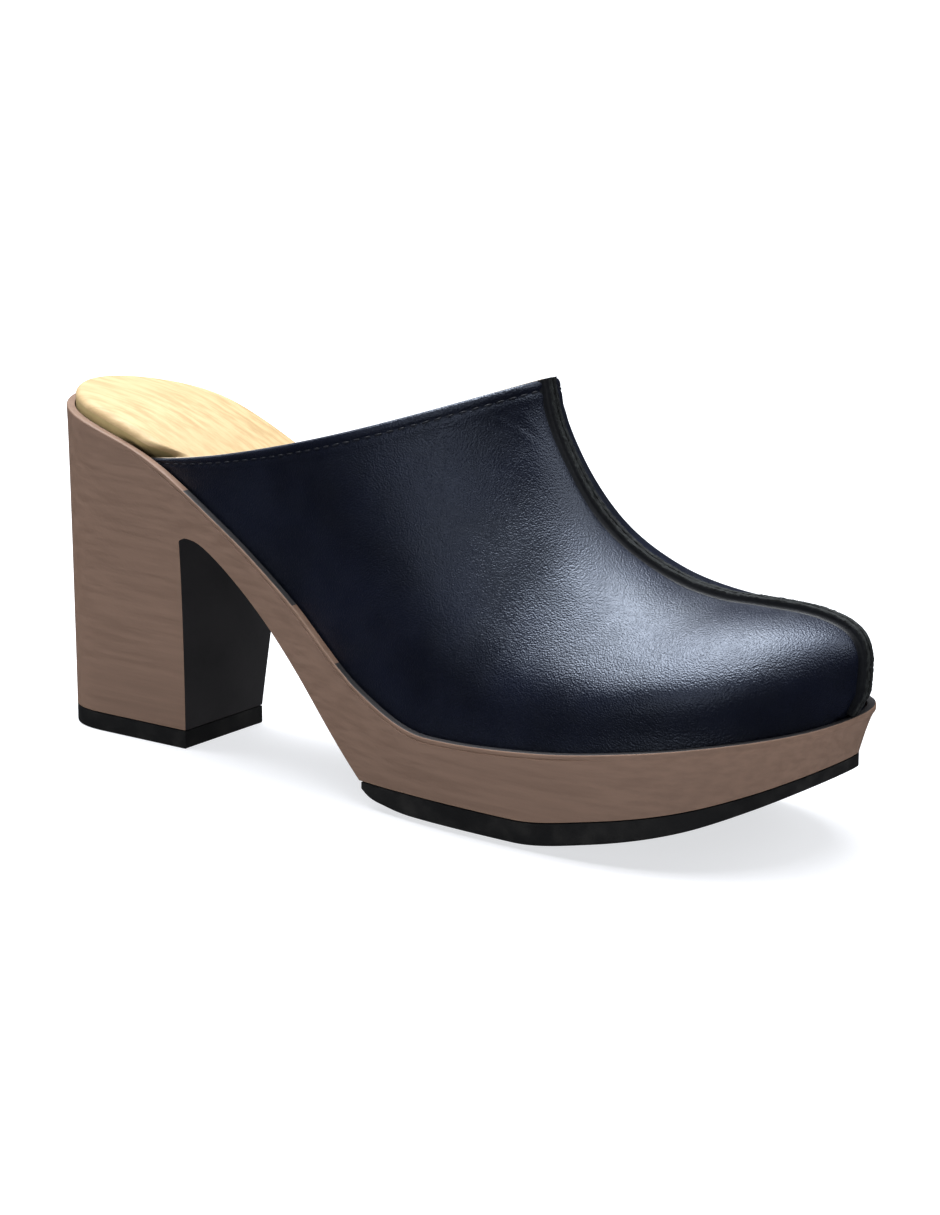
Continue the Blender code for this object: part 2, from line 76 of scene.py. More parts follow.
# Rubber under the forefoot and the heel
PAD_THICK = 7.0 * MM
PAD_SPRING = 20.5 * MM
PAD_REAR_LIFT = 5.3 * MM
PAD_EDGE_LIFT = 2.0 * MM
PAD_EDGE_WIDTH = 9 * MM
TOP_PIECE_THICK = 5 * MM
TOP_PIECE_ROLL = 0.7 * MM
TREAD_DEPTH = 0.45 * MM
TREAD_PITCH = 3.4 * MM

# Insole
INSOLE_RISE = 4.5 * MM
INSOLE_EDGE = 2.6 * MM
INSOLE_CROWN = 0.8 * MM
INSOLE_STEP = 4 * MM
INSOLE_STEP_LEAD = 4.6 * MM
INSOLE_BAND = 2.3 * MM

# Upper
WALL = 1.8 * MM
LEATHER_THICK = 1.15 * MM
LINING_SET = 0.1 * MM
COLLAR_AT_LATERAL = 38.5 * MM
COLLAR_AT_MEDIAL = 58 * MM
THROAT_AT = 151.7 * MM
INSTEP_HEIGHT = 84.3 * MM
TOE_BOX_HEIGHT = 28.2 * MM
BALL_AT = 182 * MM
UPPER_BULGE = 2.2 * MM
BULGE_FOOT = 4.8 * MM
BULGE_FADE = 29 * MM
TOE_OVERHANG = 4.0 * MM
SEAM_WIDTH = 3.0 * MM
SEAM_HEIGHT = 2.0 * MM
THROAT_SHIFT = 2.5 * MM

# Collar stitching
STITCH_DOWN = 2.6 * MM
STITCH_PITCH = 3.2 * MM
STITCH_LENGTH = 2.4 * MM
STITCH_THICK = 0.5 * MM
HEM_PUFF = 0.18 * MM

# Clearances
GAP = 0.3 * MM
LIP_GAP = 0.6 * MM
SOCK_GAP = 1.6 * MM

# How square the rounded ends are in plan: 2 is an ellipse.
SEAT_FULLNESS = 2.05
TOE_FULLNESS = 2.35
HEEL_BASE_FULLNESS = 2.6

SIDE_FLARE = 0.75
BULGE_SPAN = 0.75

# The photograph's view: the camera's place in the shoe's frame, then its turn and lens.
CAMERA_AT = (628.0 * MM, -676.1 * MM, 258.3 * MM)
CAMERA_PITCH = 14.08
CAMERA_YAW = 36.36
CAMERA_LENS = 100.8
BACKDROP = (0.97, 0.97, 0.98)

# The studio's soft lights, in degrees round from +X and up from the floor: a long soft box from
# behind the heel to right above the shoe, then two pale walls of a dark room. Each fades out from
# its core to its edge.
Light = namedtuple("Light", "azimuth height core edge strength")
LIGHTS = (
    Light(180, 63, 0, 27, 9.6),
    Light(135, 63, 0, 27, 5.4),
    Light(0, 88, 0, 27, 8.8),
    Light(36, 40, 0, 30, 3.0),
    Light(-80, 15, 0, 24, 2.4),
)
LIGHT_TINT = (0.95, 0.975, 1.0)
ROOM_LIGHT = 0.04
FLOOR_GLOW = 0.74
CONTRAST = 0.85

RimRow = namedtuple("RimRow", "along lateral medial rise spring")
RIM_ROWS = (
    RimRow(0.000, 0.00, 0.00, 1.000, 0.00),
    RimRow(0.150, 0.00, -0.03, 0.891, 0.00),
    RimRow(0.290, 0.20, 0.00, 0.650, 0.00),
    RimRow(0.395, 0.35, 0.08, 0.404, 0.00),
    RimRow(0.500, 0.58, 0.32, 0.118, 0.00),
    RimRow(0.600, 0.84, 0.64, 0.000, 0.00),
    RimRow(0.730, 1.04, 0.93, 0.000, 0.16),
    RimRow(0.850, 1.12, 0.86, 0.000, 0.52),
    RimRow(0.940, 1.14, 0.72, 0.000, 0.82),
    RimRow(1.000, 1.14, 0.66, 0.000, 1.00),
)

ArchRow = namedtuple("ArchRow", "along height")
ARCH_ROWS = (
    ArchRow(0.00, 0.980),
    ArchRow(0.04, 1.000),
    ArchRow(0.10, 0.995),
    ArchRow(0.20, 0.940),
    ArchRow(0.35, 0.810),
    ArchRow(0.50, 0.650),
    ArchRow(0.65, 0.460),
    ArchRow(0.80, 0.255),
    ArchRow(1.00, 0.000),
)

PadRow = namedtuple("PadRow", "along rear toe thick")
PAD_ROWS = (
    PadRow(0.00, 1.00, 0.00, 0.20),
    PadRow(0.03, 0.48, 0.00, 0.59),
    PadRow(0.07, 0.19, 0.00, 0.81),
    PadRow(0.15, 0.00, 0.00, 0.98),
    PadRow(0.42, 0.00, 0.00, 1.00),
    PadRow(0.60, 0.00, 0.16, 0.98),
    PadRow(0.80, 0.00, 0.47, 0.82),
    PadRow(0.92, 0.00, 0.77, 0.62),
    PadRow(1.00, 0.00, 1.00, 0.50),
)

UpperRow = namedtuple("UpperRow", "foot seam over instep toe_box round lean")
UPPER_ROWS_TABLE = (
    UpperRow(0.000, 0.000, 0.00, 1.000, 1.00, 2.00, 0.72),
    UpperRow(0.050, 0.031, 0.00, 0.815, 1.00, 2.00, 0.80),
    UpperRow(0.110, 0.094, 0.00, 0.620, 1.00, 2.00, 0.90),
    UpperRow(0.180, 0.173, 0.00, 0.440, 1.00, 2.05, 0.98),
    UpperRow(0.260, 0.267, 0.00, 0.295, 1.00, 2.10, 1.00),
    UpperRow(0.350, 0.382, 0.00, 0.170, 1.00, 2.20, 1.00),
    UpperRow(0.450, 0.513, 0.00, 0.070, 1.00, 2.30, 1.10),
    UpperRow(0.560, 0.654, 0.00, 0.010, 1.00, 2.35, 1.35),
    UpperRow(0.670, 0.790, 0.12, 0.000, 0.95, 2.40, 1.60),
    UpperRow(0.770, 0.905, 0.45, 0.000, 0.86, 2.40, 1.80),
    UpperRow(0.860, 0.975, 0.86, 0.000, 0.72, 2.40, 1.90),
    UpperRow(0.925, 1.000, 1.00, 0.000, 0.50, 2.30, 1.90),
    UpperRow(0.965, 1.000, 0.90, 0.000, 0.25, 2.20, 1.70),
    UpperRow(0.985, 1.000, 0.10, 0.000, 0.04, 2.10, 1.60),
    UpperRow(1.000, 1.000, 0.00, 0.000, -0.10, 2.00, 1.50),
)

# Creases of the leather. row runs from the collar (0) to the toe tip (1), turn from the lateral
# foot (-1) over the seam (0) to the medial foot (1). depth is positive for a trough and width is
# half the trough's width, both in mm.
Crease = namedtuple("Crease", "row_from turn_from row_to turn_to depth width")
CREASES = (
    Crease(0.030, -0.34, 0.075, -0.20, 0.10, 0.9),
    Crease(0.028, -0.27, 0.085, -0.13, 0.12, 0.8),
    Crease(0.032, -0.42, 0.065, -0.30, 0.08, 0.9),
    Crease(0.040, -0.20, 0.110, -0.09, 0.08, 0.9),
    Crease(0.030, 0.34, 0.075, 0.20, 0.10, 0.9),
    Crease(0.030, 0.22, 0.090, 0.11, 0.10, 0.9),
    Crease(0.250, -0.20, 0.330, -0.55, 0.16, 6.0),
    Crease(0.350, -0.20, 0.420, -0.50, 0.12, 6.0),
    Crease(0.160, -0.26, 0.240, -0.56, 0.14, 6.0),
    Crease(0.250, 0.20, 0.330, 0.55, 0.16, 6.0),
    Crease(0.350, 0.20, 0.420, 0.50, 0.12, 6.0),
    Crease(0.160, 0.26, 0.240, 0.56, 0.14, 6.0),
    Crease(0.840, -0.93, 0.820, -0.72, 0.45, 1.8),
    Crease(0.880, -0.94, 0.865, -0.70, 0.40, 1.6),
    Crease(0.915, -0.95, 0.900, -0.68, 0.40, 1.6),
    Crease(0.840, 0.93, 0.820, 0.72, 0.45, 1.8),
    Crease(0.880, 0.94, 0.865, 0.70, 0.40, 1.6),
    Crease(0.915, 0.95, 0.900, 0.68, 0.40, 1.6),
)

# Rings of the tread, in plan: centre in mm from the heel's back and centre line, and the rings'
# longest reach.
TreadRing = namedtuple("TreadRing", "x y reach stretch")
TREAD_RINGS = (
    TreadRing(150, -12, 26, 1.3),
    TreadRing(184, 16, 24, 1.2),
    TreadRing(196, -20, 20, 0.9),
    TreadRing(128, 14, 18, 1.1),
    TreadRing(18, -4, 14, 1.4),
    TreadRing(38, 3, 12, 0.8),
)


def smooth(rows, key, column, at):
    """Read a table's column as one smooth curve over its key column, with no overshoot."""
    keys = [getattr(row, key) for row in rows]
    values = [getattr(row, column) for row in rows]
    at = min(max(at, keys[0]), keys[-1])
    last = len(keys) - 2
    i = min(max(sum(1 for k in keys if k <= at) - 1, 0), last)

    def secant(j):
        j = min(max(j, 0), last)
        return (values[j + 1] - values[j]) / (keys[j + 1] - keys[j])

    def slope(j):
        before, after = secant(j - 1), secant(j)
        if before * after <= 0:
            return 0.0
        steepest = 3 * min(abs(before), abs(after))
        return math.copysign(min(abs(before + after) / 2, steepest), before)

    span = keys[i + 1] - keys[i]
    t = (at - keys[i]) / span
    start = values[i] * (2 * t**3 - 3 * t**2 + 1) + slope(i) * span * (t**3 - 2 * t**2 + t)
    end = values[i + 1] * (3 * t**2 - 2 * t**3) + slope(i + 1) * span * (t**3 - t**2)
    return start + end


def mix(a, b, share):
    return a + (b - a) * share


def ease(share):
    share = min(max(share, 0.0), 1.0)
    return share * share * (3 - 2 * share)


def end_round(from_end, reach, power):
    """Share of the full width that a rounded end leaves at a distance from its tip."""
    if from_end >= reach:
        return 1.0
    return (1 - (1 - max(from_end, 0.0) / reach) ** power) ** (1 / power)


def centre_y(x):
    """Centre line in plan, which swings to the medial side at the toe."""
    return TOE_SWING * ease((x - TOE_SWING_FROM) / (LENGTH - TOE_SWING_FROM))


def rim_z(x):
    share = x / LENGTH
    rise = smooth(RIM_ROWS, "along", "rise", share)
    spring = smooth(RIM_ROWS, "along", "spring", share)
    return PLATFORM_HEIGHT + rise * (HEEL_HEIGHT - PLATFORM_HEIGHT) + spring * RIM_SPRING


def half_width(side, x):
    """Half width of the rim without its rounded ends."""
    growth = smooth(RIM_ROWS, "along", side, x / LENGTH)
    return mix(SEAT_WIDTH, BALL_WIDTH, growth) / 2


def rim_point(side, share, inset):
    """Plan point of the rim's outline, moved inwards by inset; share runs from heel to toe."""
    x = mix(inset, LENGTH - inset, share)
    shape_x = share * LENGTH
    round_heel = end_round(shape_x, SEAT_ROUND, SEAT_FULLNESS)
    round_toe = end_round(LENGTH - shape_x, TOE_ROUND, TOE_FULLNESS)
    reach = (half_width(side, shape_x) - inset) * round_heel * round_toe
    return x, centre_y(x) + reach * (-1 if side == "lateral" else 1)


def base_point(side, share):
    """Plan point of the outline where the sole unit meets the rubber."""
    x = mix(HEEL_BACK_SET, LENGTH - SIDE_TAPER, share)
    outward = -1 if side == "lateral" else 1
    rim_x, rim_y = rim_point(side, share, SIDE_TAPER)
    heel = HEEL_BASE_WIDTH / 2 * end_round(x - HEEL_BACK_SET, HEEL_BASE_ROUND, HEEL_BASE_FULLNESS)
    to_platform = ease((x - BREAST_AT) / (PAD_REAR_AT - BREAST_AT))
    heel_y = HEEL_BASE_SHIFT + outward * heel
    return mix(x, rim_x, to_platform), mix(heel_y, rim_y, to_platform)


def pad_value(column, x):
    """Read the pad's table at a place along the shoe."""
    return smooth(PAD_ROWS, "along", column, (x - PAD_REAR_AT) / (LENGTH - SIDE_TAPER - PAD_REAR_AT))


def pad_z(x):
    """Height of the forefoot pad's ground side."""
    return pad_value("rear", x) * PAD_REAR_LIFT + pad_value("toe", x) * PAD_SPRING


def pad_top_z(x):
    return pad_z(x) + pad_value("thick", x) * PAD_THICK


def base_z(x):
    """Height of the sole unit's lower face before the arch is cut."""
    heel = TOP_PIECE_THICK + GAP
    platform = pad_top_z(max(x, PAD_REAR_AT)) + GAP
    return mix(heel, platform, ease((x - BREAST_AT) / (PAD_REAR_AT - BREAST_AT)))


def breast_x(z):
    """The heel's front face leans forward as it rises."""
    return BREAST_AT + BREAST_LEAN * z / ARCH_HEIGHT


def arch_point(along):
    """Point of the arch's underside in the side view, ending at the pad's rear edge."""
    height = smooth(ARCH_ROWS, "along", "height", along)
    end_z = pad_top_z(PAD_REAR_AT)
    return mix(breast_x(ARCH_HEIGHT), PAD_REAR_AT, along), mix(end_z, ARCH_HEIGHT, height)


IndexedRow = namedtuple("IndexedRow", ("index",) + UpperRow._fields)


def upper_row(position):
    """Interpolate the upper's section table; position runs from 0 at the collar to 1."""
    rows = len(UPPER_ROWS_TABLE)
    numbered = [IndexedRow(i / (rows - 1), *row) for i, row in enumerate(UPPER_ROWS_TABLE)]
    return UpperRow(*(smooth(numbered, "index", column, position) for column in UpperRow._fields))


def foot_tip_x():
    return LENGTH - LIP_WIDTH - LIP_GAP


def seam_point(row):
    """Point of the centre seam on the leather."""
    x = mix(THROAT_AT, foot_tip_x(), row.seam) + row.over * TOE_OVERHANG
    above = row.toe_box * TOE_BOX_HEIGHT + row.instep * (INSTEP_HEIGHT - TOE_BOX_HEIGHT)
    y = mix(THROAT_SHIFT, centre_y(foot_tip_x()), ease(row.seam))
    return np.array((x, y, rim_z(min(x, LENGTH)) + above))


def foot_y(side, x):
    inset = LIP_WIDTH + LIP_GAP
    return rim_point(side, (x - inset) / (LENGTH - 2 * inset), inset)[1]


def foot_point(side, row):
    """Foot of the upper's wall, in the sole unit's recess."""
    rear = COLLAR_AT_LATERAL if side == "lateral" else COLLAR_AT_MEDIAL
    x = mix(rear, foot_tip_x(), math.sin(math.pi / 2 * min(row.foot, 1.0)))
    return np.array((x, foot_y(side, x), rim_z(x) - RECESS_DEPTH + GAP))


def collar_reach(side, height):
    """Where along the shoe the collar's edge stands this high above the rim."""
    row = upper_row(0.0)
    foot = foot_point(side, row)
    seam = seam_point(row)
    behind, ahead = foot[0], seam[0]
    while ahead - behind > 0.01 * MM:
        x = (behind + ahead) / 2
        climb = ((x - foot[0]) / (seam[0] - foot[0])) ** (1 / row.lean)
        if mix(foot[2], seam[2], climb) < rim_z(x) + height:
            behind = x
        else:
            ahead = x
    return behind


def upper_curve(side, row, turns):
    """One section of the upper's outer face, from its foot to the seam."""
    foot = foot_point(side, row)
    seam = seam_point(row)
    height = max(seam[2] - foot[2], 0.001 * MM)
    outward = -1 if side == "lateral" else 1
    points = []
    for turn in turns:
        climb = math.sin(turn) ** (2 / row.round)
        spread = math.cos(turn) ** (2 / row.round)
        x = mix(foot[0], seam[0], climb**row.lean)
        outline_x = max(foot[0], min(x, BALL_AT))
        middle = mix(centre_y(outline_x), seam[1], climb)
        half = abs(foot_y(side, outline_x) - centre_y(outline_x))
        free = (climb * height - BULGE_FOOT) / (BULGE_SPAN * height)
        swell = math.sin(math.pi * min(max(free, 0.0), 1.0)) ** 2
        bulge = UPPER_BULGE * swell * min(1.0, half / BULGE_FADE)
        y = middle + outward * (half * spread + bulge)
        points.append((x, y, mix(foot[2], seam[2], climb)))
    return points


def upper_grid(positions, half_columns):
    """Outer face of the upper as rows from collar to toe, each from lateral to medial foot."""
    turns = [math.pi / 2 * i / half_columns for i in range(half_columns + 1)]
    rows = [upper_row(position) for position in positions]
    return np.array([
        upper_curve("lateral", row, turns) + upper_curve("medial", row, turns[-2::-1]) for row in rows
    ])


def unit(vectors):
    return vectors / np.maximum(np.linalg.norm(vectors, axis=-1, keepdims=True), 1e-12)


def grid_normals(grid):
    """Normals of a grid that point away from the foot."""
    normals = unit(np.cross(np.gradient(grid, axis=0), np.gradient(grid, axis=1)))
    if normals[0, grid.shape[1] // 2, 2] < 0:
        normals = -normals
    return normals


def spaced(count):
    """Shares from 0 to 1 that crowd towards both ends."""
    return [(1 - math.cos(math.pi * i / (count - 1))) / 2 for i in range(count)]


def make_mesh(name, vertices, faces, weld=0.005 * MM):
    """Make a mesh object in the row's frame with its faces turned outwards."""
    mesh = bpy.data.meshes.new(name)
    mesh.from_pydata([tuple(v) for v in vertices], [], faces)
    work = bmesh.new()
    work.from_mesh(mesh)
    bmesh.ops.remove_doubles(work, verts=work.verts, dist=weld)
    bmesh.ops.dissolve_degenerate(work, edges=work.edges, dist=0.001 * MM)
    bmesh.ops.recalc_face_normals(work, faces=work.faces)
    bmesh.ops.translate(work, verts=work.verts, vec=ROW_SHIFT)
    work.to_mesh(mesh)
    work.free()
    mesh.shade_smooth()
    thing = bpy.data.objects.new(name, mesh)
    bpy.context.scene.collection.objects.link(thing)
    return thing


def loft(rings):
    """Faces that join closed rings of equal length, with a cap on the first and the last."""
    count = len(rings[0])
    vertices = [point for ring in rings for point in ring]
    faces = []
    for r in range(len(rings) - 1):
        for k in range(count):
            nxt = (k + 1) % count
            faces.append((r * count + k, r * count + nxt, (r + 1) * count + nxt, (r + 1) * count + k))
    faces.append(tuple(range(count)))
    faces.append(tuple(range((len(rings) - 1) * count, len(rings) * count)))
    return vertices, faces


def slab(name, shares, side_levels, shape):
    """Loft a slab along its stations. shape gives the point at a side, a share and a level."""
    rings = []
    for share in shares:
        lateral = [shape("lateral", share, level) for level in side_levels]
        medial = [shape("medial", share, level) for level in side_levels]
        rings.append(lateral + medial[::-1])
    return make_mesh(name, *loft(rings))


def cut(thing, cutter):
    """Take one solid away from another and delete the cutter."""
    modifier = thing.modifiers.new("cut", "BOOLEAN")
    modifier.operation = "DIFFERENCE"
    modifier.solver = "EXACT"
    modifier.object = cutter
    depsgraph = bpy.context.evaluated_depsgraph_get()
    thing.data = bpy.data.meshes.new_from_object(thing.evaluated_get(depsgraph))
    thing.modifiers.remove(modifier)
    bpy.data.objects.remove(cutter)


def add_piece(thing, materials, replaced=(), sharp_degrees=None):
    """Dress a finished piece and let it ride with the shoe."""
    for material in materials:
        thing.data.materials.append(material)
    if sharp_degrees is not None:
        thing.data.set_sharp_from_angle(angle=math.radians(sharp_degrees))
    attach(thing, "root")
    if replaced:
        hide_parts(*replaced)
    return thing


# Sole unit


def sole_levels():
    """Levels down the sole unit's side: depth below the rim, inset, and share of the full drop."""
    fine = []
    roll_steps = 5
    for step in range(roll_steps + 1):
        turn = math.pi / 2 * step / roll_steps
        fine.append((RIM_ROLL * (1 - math.cos(turn)), RIM_ROLL * (1 - math.sin(turn))))
    groove_steps = 6
    for step in range(groove_steps + 1):
        share = step / groove_steps
        depth = GROOVE_DOWN + GROOVE_WIDTH * share
        fine.append((depth, GROOVE_DEPTH * math.sin(math.pi * share) ** 2))
    groove_end = GROOVE_DOWN + GROOVE_WIDTH
    drop_steps = 24
    levels = [(depth, inset, 0.0) for depth, inset in fine]
    return levels + [(groove_end, 0.0, step / drop_steps) for step in range(1, drop_steps + 1)]


def sole_point(side, share, level):
    """Point on the sole unit's side. The flare dies out towards the ground, the rim line at both ends."""
    depth, inset, drop = level
    if depth >= GROOVE_DOWN:
        inset *= ease((share - GROOVE_FROM) / GROOVE_FADE) * ease((GROOVE_TO - share) / GROOVE_FADE)
    rim_x, rim_y = rim_point(side, share, inset)
    base_x, base_y = base_point(side, share)
    flare = drop**SIDE_FLARE
    top = rim_z(rim_x) - depth
    return mix(rim_x, base_x, flare), mix(rim_y, base_y, flare), mix(top, base_z(base_x), drop)


def make_sole_unit(side_paint, black_foam):
    """Moulded unit: painted sides, black breast, arch and underside, and black paint on the lip beside the
    leather as a painted shadow where the leather meets the rim.
    """
    stations = 170
    body = slab("sole_unit_shell", spaced(stations), sole_levels(), sole_point)

    below = -5 * MM
    steps = 60
    arch = [arch_point(i / steps) for i in range(steps + 1)]
    end_x, end_z = arch[-1]
    pad_slope = (end_x - arch[-2][0]) / (end_z - arch[-2][1])
    pad_foot = (end_x - pad_slope * (end_z - below), below)
    profile = [(breast_x(below), below)] + arch + [pad_foot]
    near = [(x, -BALL_WIDTH, z) for x, z in profile]
    far = [(x, BALL_WIDTH, z) for x, z in profile]
    cut(body, make_mesh("arch_cutter", *loft([near, far])))

    def recess_point(side, share, level):
        x, y = rim_point(side, share, LIP_WIDTH)
        return x, y, rim_z(x) + level

    levels = (2 * RECESS_DEPTH, -RECESS_DEPTH)
    cut(body, slab("recess_cutter", spaced(stations), levels, recess_point))

    pad_rear = ROW_SHIFT.x + PAD_REAR_AT + GAP
    for face in body.data.polygons:
        cut_across = abs(face.normal.y) < 0.02 and face.center.x < pad_rear
        arch = cut_across and face.normal.z < -0.2
        breast = cut_across and face.normal.x > 0.9
        base = face.normal.z < -0.9
        # The lip's top beside the leather gets the black paint as a painted shadow where the leather meets the
        # rim.
        painted_shadow_beside_leather = face.normal.z > 0.8 and face.center.x > ROW_SHIFT.x + COLLAR_AT_MEDIAL
        face.material_index = 1 if arch or breast or base or painted_shadow_beside_leather else 0
    body.data.shade_smooth()
    return add_piece(body, (side_paint, black_foam), ("sole_unit",), 38)


# Rubber


def tread(x, y):
    """Depth of the tread's grooves at a plan point: rings round a few centres, each cut by the next."""
    nearest = None
    for ring in TREAD_RINGS:
        away = math.hypot(x - ring.x * MM, (y - ring.y * MM) * ring.stretch)
        if nearest is None or away / ring.reach < nearest[0] / nearest[1]:
            nearest = (away, ring.reach)
    wave = 0.5 + 0.5 * math.cos(2 * math.pi * nearest[0] / TREAD_PITCH)
    return TREAD_DEPTH * ease((wave - 0.55) / 0.4)


def make_forefoot_rubber(rubber):
    """Rubber under the forefoot, flat under the ball and sprung at the toe, with its tread."""
    stations = 200
    tread_columns = 84
    tip_x = LENGTH - SIDE_TAPER
    roll_steps = 3
    rings = []
    for share in spaced(stations):
        x = mix(PAD_REAR_AT, tip_x, share)
        base_x = base_point("lateral", (x - HEEL_BACK_SET) / (tip_x - HEEL_BACK_SET))[0]
        thick = pad_value("thick", base_x)
        ground = pad_z(base_x)
        sides = {}
        for side in ("lateral", "medial"):
            base_y = base_point(side, (x - HEEL_BACK_SET) / (tip_x - HEEL_BACK_SET))[1]
            middle = centre_y(base_x)
            inner_y = middle + (base_y - middle) * (1 - PAD_EDGE_WIDTH / (BALL_WIDTH / 2))
            inner_x = mix(base_x, mix(PAD_REAR_AT, tip_x, 0.5), PAD_EDGE_WIDTH / (tip_x - PAD_REAR_AT))
            lift = thick**2 * PAD_EDGE_LIFT
            line = [(base_x, base_y, ground + thick * PAD_THICK)]
            for step in range(roll_steps + 1):
                part = step / roll_steps
                across = part * part
                line.append((
                    mix(base_x, inner_x, across),
                    mix(base_y, inner_y, across),
                    ground + lift * (1 - part) ** 1.3,
                ))
            sides[side] = line
        start, end = sides["lateral"][-1], sides["medial"][-1]
        bottom = []
        for k in range(1, tread_columns):
            part = k / tread_columns
            px, py = mix(start[0], end[0], part), mix(start[1], end[1], part)
            fade = ease(part * 14) * ease((1 - part) * 14) * ease((1 - share) * 12)
            bottom.append((px, py, ground + tread(px, py) * fade))
        rings.append(sides["lateral"] + bottom + sides["medial"][::-1])
    piece = make_mesh("forefoot_rubber", *loft(rings))
    return add_piece(piece, (rubber,), ("outsole_forefoot",), 40)


def make_heel_rubber(rubber):
    """Rubber D under the heel, cut off straight at the breast."""
    reach = breast_x(TOP_PIECE_THICK)
    steps = 60
    tread_columns = 44
    rings = []
    for i in range(steps + 1):
        share = 1 - math.cos(math.pi / 2 * i / steps)
        levels = [(TOP_PIECE_THICK, 0.0)]
        roll_steps = 4
        for step in range(roll_steps + 1):
            turn = math.pi / 2 * step / roll_steps
            levels.append((TOP_PIECE_ROLL * (1 - math.sin(turn)), TOP_PIECE_ROLL * (1 - math.cos(turn))))
        lines = {}
        for outward in (-1, 1):
            line = []
            for z, inset in levels:
                x = mix(HEEL_BACK_SET + inset, reach - inset, share)
                from_back = share * (reach - HEEL_BACK_SET)
                round_off = end_round(from_back, HEEL_BASE_ROUND, HEEL_BASE_FULLNESS)
                half = (HEEL_BASE_WIDTH / 2 - inset) * round_off
                line.append((x, HEEL_BASE_SHIFT + outward * half, z))
            lines[outward] = line
        start, end = lines[-1][-1], lines[1][-1]
        bottom = []
        for k in range(1, tread_columns):
            part = k / tread_columns
            px, py = start[0], mix(start[1], end[1], part)
            fade = ease(part * 8) * ease((1 - part) * 8) * ease(share * 12) * ease((1 - share) * 20)
            bottom.append((px, py, tread(px, py) * fade))
        rings.append(lines[-1] + bottom + lines[1][::-1])
    piece = make_mesh("heel_rubber", *loft(rings))
    return add_piece(piece, (rubber,), ("heel_top_piece",), 40)


# Insole


def make_insole(leather, side_band_and_shade):
    """Padded sock: a crowned leather top that rolls over a darker side, partly its own darker edge and partly
    painted shade.
    """
    beside_lip = LIP_WIDTH + GAP
    beside_wall = LIP_WIDTH + LIP_GAP + WALL + SOCK_GAP
    underside = GAP - RECESS_DEPTH
    levels = [(underside, 0.0), (INSOLE_BAND * 0.5, 0.0)]
    levels += [(INSOLE_BAND, 0.0)]
    roll_steps = 8
    for step in range(1, roll_steps + 1):
        turn = math.pi / 2 * step / roll_steps
        height = INSOLE_BAND + (INSOLE_RISE - INSOLE_BAND) * math.sin(turn)
        levels.append((height, INSOLE_EDGE * (1 - math.cos(turn))))
    crown_steps = 14
    widest = SEAT_WIDTH / 2 - beside_wall - INSOLE_EDGE
    for step in range(1, crown_steps + 1):
        share = step / crown_steps
        inset = INSOLE_EDGE + share * widest
        levels.append((INSOLE_RISE + INSOLE_CROWN * (1 - (1 - share) ** 2), inset))

    reach = {side: [collar_reach(side, height) for height, _ in levels] for side in ("lateral", "medial")}

    def insole_point(side, share, level):
        height, inset = level
        x = mix(beside_wall, LENGTH - beside_wall, share)
        collar = reach[side][levels.index(level)]
        beside = mix(beside_lip, beside_wall, ease((x - collar + INSOLE_STEP_LEAD) / INSOLE_STEP))
        x, y = rim_point(side, share, beside + inset)
        return x, y, rim_z(x) + height

    piece = slab("insole_sock", spaced(190), levels, insole_point)
    # Faces low on the side get the darker side paint: partly the sock's own darker edge, partly painted shade.
    for face in piece.data.polygons:
        rim = rim_z(min(max(face.center.x - ROW_SHIFT.x, 0.0), LENGTH))
        face.material_index = 1 if face.center.z < rim + INSOLE_BAND and face.normal.z < 0.5 else 0
    add_piece(piece, (leather, side_band_and_shade), ("insole",), 50)
    return piece


# Upper


def row_positions(near_collar, rest):
    """Positions of the upper's rows: close together in the collar's hem, even beyond it."""
    hem = 0.06
    return list(np.linspace(0.0, hem, near_collar, endpoint=False)) + list(np.linspace(hem, 0.996, rest))


def collar_distance(grid):
    """How far each grid point lies from the collar's edge, along the leather."""
    steps = np.linalg.norm(np.diff(grid, axis=0), axis=2)
    return np.vstack([np.zeros(grid.shape[1]), np.cumsum(steps, axis=0)])


def grid_at(grid, positions, row, turn):
    """Grid point at a row position and a turn from -1 over the seam to 1."""
    r = int(np.argmin(np.abs(np.array(positions) - row)))
    c = int(round((turn + 1) / 2 * (grid.shape[1] - 1)))
    return grid[r, c]


def crease_relief(grid, positions):
    """Height of the leather's creases over the grid, each a trough with a soft ridge beside it."""
    relief = np.zeros(grid.shape[:2])
    flat = grid.reshape(-1, 3)
    steps = 24
    for crease in CREASES:
        line = np.array([
            grid_at(grid, positions, mix(crease.row_from, crease.row_to, i / steps),
                    mix(crease.turn_from, crease.turn_to, i / steps))
            for i in range(steps + 1)
        ])
        away = np.linalg.norm(flat[:, None, :] - line[None, :, :], axis=2)
        nearest = away.argmin(axis=1)
        distance = away.min(axis=1) / (crease.width * MM)
        part = nearest / steps
        fade = np.sin(math.pi * np.clip(part, 0.04, 0.96)) ** 0.6
        trough = -np.exp(-(distance**2))
        ridge = 0.45 * np.exp(-((distance - 1.7) ** 2) * 1.6)
        relief += (crease.depth * MM * fade * (trough + ridge)).reshape(relief.shape)
    return relief


def soft_waves(grid):
    """Slow unevenness of lasted leather, a sum of a few fixed waves."""
    x, y, z = (grid[..., axis] / MM for axis in range(3))
    waves = 0.07 * np.sin(x / 8.1 + y / 13.0 + 0.7) * np.sin(z / 9.3 - x / 21.0)
    waves += 0.035 * np.sin(x / 4.3 - z / 6.1 + 1.9) * np.sin(y / 5.7 + 0.4)
    waves += 0.012 * np.sin(x / 2.3 + z / 3.1) * np.sin(y / 2.9 - x / 7.0 + 2.2)
    return waves * MM


